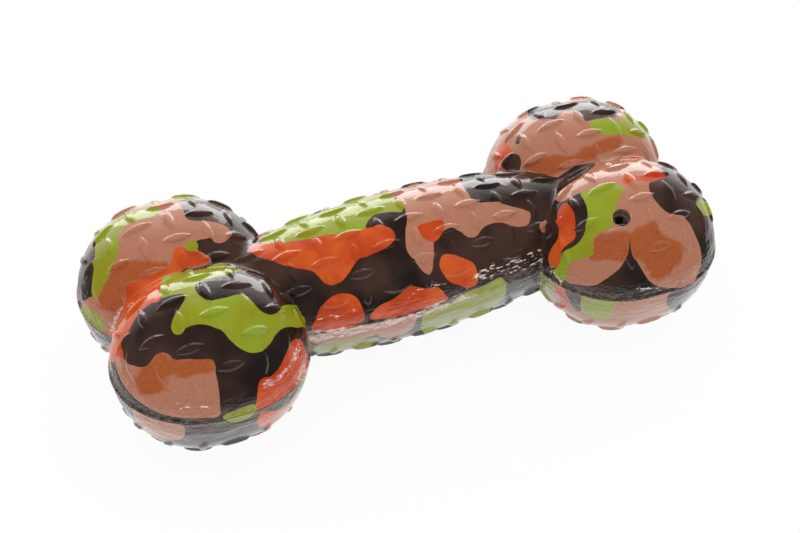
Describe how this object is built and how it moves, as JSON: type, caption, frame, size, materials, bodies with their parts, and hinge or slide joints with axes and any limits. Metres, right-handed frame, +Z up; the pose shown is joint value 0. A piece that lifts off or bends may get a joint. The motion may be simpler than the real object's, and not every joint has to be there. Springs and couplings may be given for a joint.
{
  "type": "rubber chew toy",
  "caption": "Bone-shaped hollow rubber chew toy with raised oval treads, a camouflage print and a reed squeaker behind its air hole.",
  "frame": {"origin": "centre of the bone, on the parting plane of the two half shells", "axes": "+X along the bone towards the end with the air hole, +Z up out of the upper shell, and the air hole's lobe lies on the -Y side"},
  "size_m": [0.1506, 0.0668, 0.041],
  "materials": {
    "rubber_upper": "gloss camouflage print in lime green, orange red, dusty brown and charcoal",
    "rubber_lower": "gloss camouflage print in lime green, orange red, dusty brown and charcoal",
    "squeaker_plastic": "moulded charcoal, semi-gloss",
    "block_plastic": "moulded dark grey, satin",
    "reed_film": "thin translucent film"
  },
  "bodies": {
    "toy": {"upper_shell": "rubber_upper", "lower_shell": "rubber_lower", "squeaker_case": "squeaker_plastic", "squeaker_cap": "squeaker_plastic", "reed_block": "block_plastic", "reed_wedge": "block_plastic"},
    "reed": {"reed": "reed_film"}
  },
  "joints": [
    {"name": "reed_flex", "type": "hinge", "parent": "toy", "child": "reed", "pos_m": [0.0469, -0.01975, 0.01195], "axis": [0.9205, -0.3907, 0], "range_deg": [-3, 3], "stiffness_Nm_per_rad": 0.0066}
  ]
}
